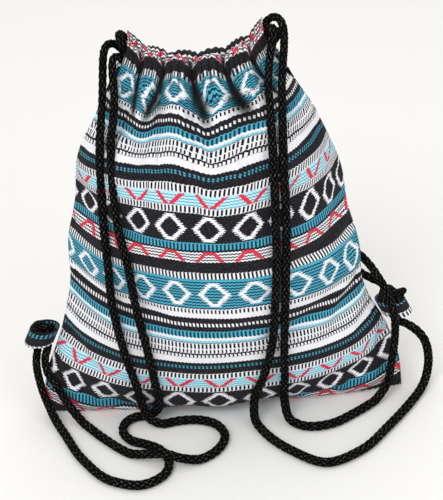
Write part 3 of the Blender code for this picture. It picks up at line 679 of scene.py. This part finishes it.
def panelRow(share, pleats, side, c):
    across = np.linspace(-1.0, 1.0, c["columns"] + 1)
    top = rimHeight(across * side, c)
    under = c["baseDepth"] * (1 - np.abs(across) ** c["baseFade"])
    travel = share * (top + under)
    lying = np.clip(travel / np.maximum(under, 1e-6), 0.0, 1.0)
    height = np.where(lying < 1.0, 0.0, np.maximum(travel - under, 0.0))
    place = evenPlaces(float(height[c["columns"] // 2]), across, c)
    opening = smoothStep(c["openFrom"], c["openFull"], share)
    depth = filledDepth(across, place, height, under, lying, opening, c)

    below = np.maximum(top - c["channelDepth"] - height, 0.0)
    above = np.clip((height - (top - c["channelDepth"])) / c["channelDepth"], 0.0, 1.0)
    fade = np.exp(-below / c["pleatReach"]) * (1 - (1 - c["pleatRim"]) * above)
    pleated = pleatShare(across, pleats, c["pleatRound"])
    stand = pleated * smoothStep(c["pleatFrom"], c["pleatFull"], share)
    depth = depth + c["pleatDepth"] * stand * fade
    sag, paintedCreaseShade = c["backShift"] * share, np.zeros_like(across)
    if side > 0:
        dent, sag, paintedCreaseShade = frontFolds(across, share, c)
        depth = depth - dent
    ruffle = 0.5 + 0.5 * bentWaves(across, c["ruffleCount"], c["ruffleBend"], c["ruffleBends"], side)
    rim = smoothStep(c["ruffleFrom"], c["ruffleFull"], share)
    # Painted shade in the valleys between the ruffles at the rim
    paintedCreaseShade = np.maximum(paintedCreaseShade, c["ruffleDark"] * (1 - ruffle) ** c["ruffleSharp"] * rim)
    gather = bentWaves(across, c["gatherCount"], c["gatherBend"], c["gatherBends"], side)
    near = np.exp(-np.abs(top - c["channelDepth"] - height) / c["gatherReach"])
    depth = depth + c["gatherDepth"] * gather * near * (1 - np.abs(across) ** c["edgeFades"]["gather"])
    depth = depth + c["lumpDepth"] * lumps(across, share, side, c)

    lift = c["frontLift" if side > 0 else "backLift"] * stand
    lift = lift * np.exp(-np.maximum(top - height, 0.0) / c["pleatReach"])
    raised = c["ruffleHeight"] * ruffle * rim * (1 - np.abs(across) ** c["edgeFades"]["ruffle"])
    x = sideWidth(across, side, height, c) * place
    y = -(depth + (c["cloth"] + c["seamGap"]) / 2 + side * cornerSwing(place, height, c))
    z = height + c["cloth"] / 2 + lift + raised
    flatAcross = clothPlaces(c["across"], c["acrossAt"], share, across)
    flatUp = clothPlaces(c["up"], c["upAt"], share, across) + sag
    return np.stack([x, y, z, flatAcross, flatUp, paintedCreaseShade], 1)


# The channel: over the top in a half circle, then down inside to the stitches

def channelRows(outside, c):
    last = outside[-1]
    radius = (c["channelClear"] + c["cloth"]) / 2
    inner = -(c["channelMiddle"] - radius)
    rows = []
    grid = np.array(outside)
    for turn in range(1, c["channelTurns"] + 1):
        angle = math.pi * turn / c["channelTurns"]
        row = last.copy()
        row[:, 1] += (inner - last[:, 1]) * (1 - math.cos(angle)) / 2
        row[:, 2] += radius * math.sin(angle)
        row[:, 4] += radius * angle
        rows.append(row)
    fold = last[:, 4] + radius * math.pi
    for step in range(1, c["channelDrops"] + 1):
        part = step / c["channelDrops"]
        row = last.copy()
        row[:, 2] = last[:, 2] - c["channelDepth"] * part
        pull = smoothStep(c["flapStraight"], 1.0, part)
        sides, wall = ([np.interp(row[i, 2], grid[:, i, 2], grid[:, i, axis]) for i in range(len(row))]
                       for axis in (0, 1))
        row[:, 0] = last[:, 0] + (sides - last[:, 0]) * part
        row[:, 1] = inner + (np.array(wall) + c["cloth"] + c["flapGap"] - inner) * pull
        row[:, 4] = fold + c["channelDepth"] * part
        rows.append(row)
    return rows


def outsideRows(front, c):
    side = 1 if front else -1
    pleats = c["frontPleats"] if front else c["backPleats"]
    shares = np.linspace(0.0, 1.0, c["rows"] + 1) ** c["rowPower"]
    return np.array([panelRow(share, pleats, side, c) for share in shares])


# Soft folds, from a cloth simulation of a coarser copy of the panel

foldSettings = {
    "columns": 96, "rows": 60, "frames": 20, "mass": 0.15, "tension": 12.0, "bending": 0.35, "shear": 5.0,
    "quality": 6, "pressure": 4.0, "extra": -0.035, "holdSide": 0.035, "holdBottom": 0.06, "holdTop": 0.86,
    "outward": 0.0028, "inward": 0.006, "blur": 60}


def simulateFolds(front, p, c):
    coarse = dict(p, columns=c["columns"], rows=c["rows"])
    grid = outsideRows(front, coarse)
    count, wide = grid.shape[:2]
    index = np.arange(count * wide).reshape(count, wide)
    sheet = meshObject("folds", grid[:, :, :3].reshape(-1, 3), gridFaces(index))
    across = np.abs(np.linspace(-1, 1, wide))[None, :] * np.ones((count, 1))
    share = (np.linspace(0, 1, count) ** p["rowPower"])[:, None] * np.ones((1, wide))
    held = (across > 1 - c["holdSide"]) | (share < c["holdBottom"]) | (share > c["holdTop"])
    group = sheet.vertex_groups.new(name="held")
    group.add([int(i) for i in index[held]], 1.0, "REPLACE")
    cloth = sheet.modifiers.new("cloth", "CLOTH")
    settings = cloth.settings
    settings.vertex_group_mass = "held"
    settings.quality = c["quality"]
    settings.mass = c["mass"]
    settings.tension_stiffness = settings.compression_stiffness = c["tension"]
    settings.shear_stiffness = c["shear"]
    settings.bending_stiffness = c["bending"]
    settings.shrink_min = c["extra"]
    settings.effector_weights.gravity = 0.0
    settings.use_pressure = True
    settings.uniform_pressure_force = c["pressure"]
    cloth.collision_settings.use_collision = False
    cloth.point_cache.frame_end = c["frames"]
    for step in range(1, c["frames"] + 1):
        scene.frame_set(step)
    made = finishedMesh(sheet)
    after = np.array([tuple(v.co) for v in made.vertices]).reshape(count, wide, 3)
    scene.frame_set(1)
    bpy.data.objects.remove(sheet, do_unlink=True)
    bpy.data.meshes.remove(made)
    moved = after - grid[:, :, :3]
    print("folds moved", round(float(np.linalg.norm(moved, axis=2).max()) * 1000, 1), "mm")
    return capFolds(moved, grid[:, :, :3], c)


# Keeps the wrinkles alone: the broad swelling is blurred away and the rest is capped

def capFolds(moved, points, c):
    out = np.cross(np.gradient(points, axis=1), np.gradient(points, axis=0))
    out /= np.linalg.norm(out, axis=2)[:, :, None] + 1e-12
    along = (moved * out).sum(2)
    smooth = along.copy()
    for _ in range(c["blur"]):
        framed = np.pad(smooth, 1, mode="edge")
        smooth = (framed[:-2, 1:-1] + framed[2:, 1:-1] + framed[1:-1, :-2] + framed[1:-1, 2:]) / 4
    along = along - smooth
    print("wrinkles", round(float(np.abs(along).max()) * 1000, 1), "mm")
    limit = np.where(along > 0, c["outward"], c["inward"])
    along = np.tanh(along / limit) * limit
    return out * along[:, :, None]


def finer(field, rows, columns):
    high = np.linspace(0, field.shape[0] - 1, rows)
    wide = np.linspace(0, field.shape[1] - 1, columns)
    tall = np.stack([spreadSteps(list(enumerate(field[:, i])), high) for i in range(field.shape[1])], 1)
    return np.stack([spreadSteps(list(enumerate(tall[j])), wide) for j in range(rows)])


def panelGrid(front, c):
    rows = outsideRows(front, c)
    folds = simulateFolds(front, c, foldSettings)
    for axis in range(3):
        rows[:, :, axis] += finer(folds[:, :, axis], rows.shape[0], rows.shape[1])
    grid = np.array(list(rows) + channelRows(list(rows), c))
    if not front:
        grid[:, :, 0:2] *= -1
    return grid


def makePanel(name, grid, c, material):
    index = np.arange(grid[:, :, 0].size).reshape(grid.shape[:2])
    panel = meshObject(name, grid[:, :, :3].reshape(-1, 3), gridFaces(index))
    addVectors(panel, "cloth", grid[:, :, 3:6])
    thicken(panel, c["cloth"])
    panel.data.materials.append(material)
    return panel


# Stitches that close the channels, set along their line by Geometry Nodes

stitchSettings = {
    "Pitch": 0.0034, "Length": 0.0024, "Thread": 0.00034, "sides": 6, "color": (24, 22, 28), "roughness": 0.8}


def stitchNodes(c):
    tree = bpy.data.node_groups.new("stitches along a line", "GeometryNodeTree")
    face = tree.interface
    face.new_socket("Line", in_out="INPUT", socket_type="NodeSocketGeometry")
    for name in ("Pitch", "Length", "Thread"):
        face.new_socket(name, in_out="INPUT", socket_type="NodeSocketFloat").default_value = c[name]
    face.new_socket("Thread Material", in_out="INPUT", socket_type="NodeSocketMaterial")
    face.new_socket("Stitches", in_out="OUTPUT", socket_type="NodeSocketGeometry")
    kinds = {"start": "NodeGroupInput", "spread": "GeometryNodeResampleCurve",
             "along": "GeometryNodeInputTangent", "turn": "FunctionNodeAlignRotationToVector",
             "stitch": "GeometryNodeMeshCylinder", "place": "GeometryNodeInstanceOnPoints",
             "real": "GeometryNodeRealizeInstances", "paint": "GeometryNodeSetMaterial",
             "end": "NodeGroupOutput"}
    nodes = {name: tree.nodes.new(kind) for name, kind in kinds.items()}
    nodes["spread"].mode = "LENGTH"
    nodes["turn"].axis = "Z"
    nodes["stitch"].inputs["Vertices"].default_value = c["sides"]
    for origin, out, target, into in (
            ("start", "Line", "spread", "Curve"), ("start", "Pitch", "spread", "Length"),
            ("start", "Length", "stitch", "Depth"), ("start", "Thread", "stitch", "Radius"),
            ("along", "Tangent", "turn", "Vector"), ("turn", "Rotation", "place", "Rotation"),
            ("spread", "Curve", "place", "Points"), ("stitch", "Mesh", "place", "Instance"),
            ("place", "Instances", "real", "Geometry"), ("real", "Geometry", "paint", "Geometry"),
            ("start", "Thread Material", "paint", "Material"), ("paint", "Geometry", "end", "Stitches")):
        tree.links.new(nodes[origin].outputs[out], nodes[target].inputs[into])
    return tree


def makeStitches(name, points, tree, material):
    curve = bpy.data.curves.new(name + " line", "CURVE")
    curve.dimensions = "3D"
    spline = curve.splines.new("POLY")
    spline.points.add(len(points) - 1)
    spline.points.foreach_set("co", np.column_stack([points, np.ones(len(points))]).ravel())
    line = linkObject(name + " line", curve)
    stitches = line.modifiers.new("stitches", "NODES")
    stitches.node_group = tree
    inputs = {item.name: item.identifier for item in tree.interface.items_tree if item.in_out == "INPUT"}
    stitches[inputs["Thread Material"]] = material
    made = finishedMesh(line)
    bpy.data.objects.remove(line, do_unlink=True)
    return linkObject(name, made)


def stitchLine(grid, c):
    outside = grid[:c["rows"] + 1]
    out = 1 if outside[-1, :, 1].mean() > 0 else -1
    line = []
    for i in range(outside.shape[1]):
        column = outside[:, i]
        down = column[-1, 2] - c["channelDepth"]
        x, y = (np.interp(down, column[:, 2], column[:, axis]) for axis in (0, 1))
        line.append((x, y + out * c["stitchOut"], down))
    return np.array(line)


# Cloth tabs in the side seams, each (side, middle height, where its strip starts in the pattern)

tabSettings = {
    "width": 0.015, "reach": 0.029, "hole": 0.024, "cloth": 0.0014, "gap": 0.0024,
    "steps": 72, "rows": 24, "strip": 0.072, "left": (-1, 0.0835, 0.0995), "right": (1, 0.087, 0.096)}


def makeTab(name, side, middle, upFrom, c, p, material):
    start = (c["cloth"] + p["seamGap"]) / (c["hole"] + c["cloth"])
    coords, flat = [], []
    for row in range(c["rows"] + 1):
        part = row / c["rows"] - 0.5
        height = middle + part * c["width"]
        seam = float(spreadSteps(p["side"], height - p["cloth"] / 2)) + c["gap"]
        swing = float(cornerSwing(1.0, height, p))
        for step in range(c["steps"] + 1):
            angle = start + step / c["steps"] * (2 * math.pi - 2 * start)
            out = seam + c["reach"] * (math.cos(start) - math.cos(angle)) / (1 + math.cos(start))
            across = (c["hole"] + c["cloth"]) / 2 * math.sin(angle) + swing
            coords.append((side * out, -across, height))
            flat.append((step / c["steps"] * c["strip"], upFrom + part * c["width"], 0.0))
    index = np.arange(len(coords)).reshape(c["rows"] + 1, c["steps"] + 1)
    tab = meshObject(name, coords, gridFaces(index, turned=side < 0))
    addVectors(tab, "cloth", flat)
    thicken(tab, c["cloth"])
    tab.data.materials.append(material)
    return tab


# Knots, closed trefoils at (x, y, z, size)

knotSettings = {
    "cord": 0.006, "rise": 1.15, "steps": 200, "around": 22, "strands": 6,
    "strandPitch": 0.005, "ridge": 1.0, "relief": 0.0008, "startAcross": (0.31, 0.2, 1.0),
    "left": (-0.177, -0.0012, 0.088, 0.0031), "right": (0.1765, -0.0012, 0.097, 0.0042)}


def makeKnot(name, place, c):
    x, y, z, size = place
    turn = np.linspace(0, 2 * math.pi, c["steps"], endpoint=False)
    points = np.stack([x + size * (np.sin(turn) + 2 * np.sin(2 * turn)),
                       y + size * c["rise"] * np.sin(3 * turn),
                       z + size * (np.cos(turn) - 2 * np.cos(2 * turn))], 1)
    return braidTube(name, points, np.full(len(points), c["cord"]), c, closed=True)


# Ground and light

stageSettings = {
    "size": 16.0, "ground": (241, 240, 237), "roughness": 0.9,
    "world": (254, 253, 252), "worldPower": 0.74, "aim": (0, 0, 0.15),
    "key": {"place": (-0.9, -1.8, 2.5), "size": 1.5, "power": 35.0},
    "fill": {"place": (1.8, -2.0, 1.4), "size": 1.6, "power": 13.0},
    "back": {"place": (0.1, 1.3, 3.0), "size": 2.0, "power": 17.0}}


def makeStage(c):
    half = c["size"] / 2
    corners = [(-half, -half, 0), (half, -half, 0), (half, half, 0), (-half, half, 0)]
    floor = meshObject("floor", corners, [(0, 1, 2, 3)])
    material, tree, shader = startMaterial("ground", c["roughness"])
    shader.inputs["Base Color"].default_value = linear(c["ground"])
    floor.data.materials.append(material)
    world = bpy.data.worlds.new("world")
    scene.world = world
    world.use_nodes = True
    background = world.node_tree.nodes["Background"]
    background.inputs["Color"].default_value = linear(c["world"])
    background.inputs["Strength"].default_value = c["worldPower"]
    for name in ("key", "fill", "back"):
        lamp = c[name]
        data = bpy.data.lights.new(name, "AREA")
        data.size = lamp["size"]
        data.energy = lamp["power"]
        light = linkObject(name, data)
        light.location = lamp["place"]
        toward = Vector(c["aim"]) - Vector(lamp["place"])
        light.rotation_euler = toward.to_track_quat("-Z", "Y").to_euler()


# The scene

makeCamera(cameraSettings)
makeStage(stageSettings)
print("camera and ground")

for side in ("left", "right"):
    spec = cordSettings[side]
    braid = braidMaterial(side + " braided cord", braidLooks)
    knot = makeKnot(side + "_knot_braid", knotSettings[side], knotSettings)
    knot.data.materials.append(braid)
    centers = smoothRoute(wholeRoute(spec), cordSettings)
    cord = braidTube(side + "_drawcord_braid", centers, cordDiameters(centers, cordSettings), cordSettings)
    cord.data.materials.append(braid)
    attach(cord, "root")
    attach(knot, "root")
    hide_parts(side + "_drawcord")
    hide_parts(side + "_knot")

threadMaterial, tree, shader = startMaterial("sewing thread", stitchSettings["roughness"])
shader.inputs["Base Color"].default_value = linear(stitchSettings["color"])
stitchTree = stitchNodes(stitchSettings)
for name, front in (("front", True), ("back", False)):
    material = clothMaterial(name + " woven cotton", clothSettings)
    grid = panelGrid(front, panelSettings)
    panel = makePanel(name + "_cloth", grid, panelSettings, material)
    line = stitchLine(grid, panelSettings)
    stitches = makeStitches(name + "_channel_stitches", line, stitchTree, threadMaterial)
    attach(stitches, "root")
    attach(panel, "root")
    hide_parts(name + "_panel")
    print(name, "panel", len(panel.data.polygons))

tabMaterial = clothMaterial("tab woven cotton", clothSettings)
for name in ("left", "right"):
    tab = makeTab(name + "_tab_strip", *tabSettings[name], tabSettings, panelSettings, tabMaterial)
    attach(tab, "root")
    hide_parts(name + "_tab")
print("tabs")
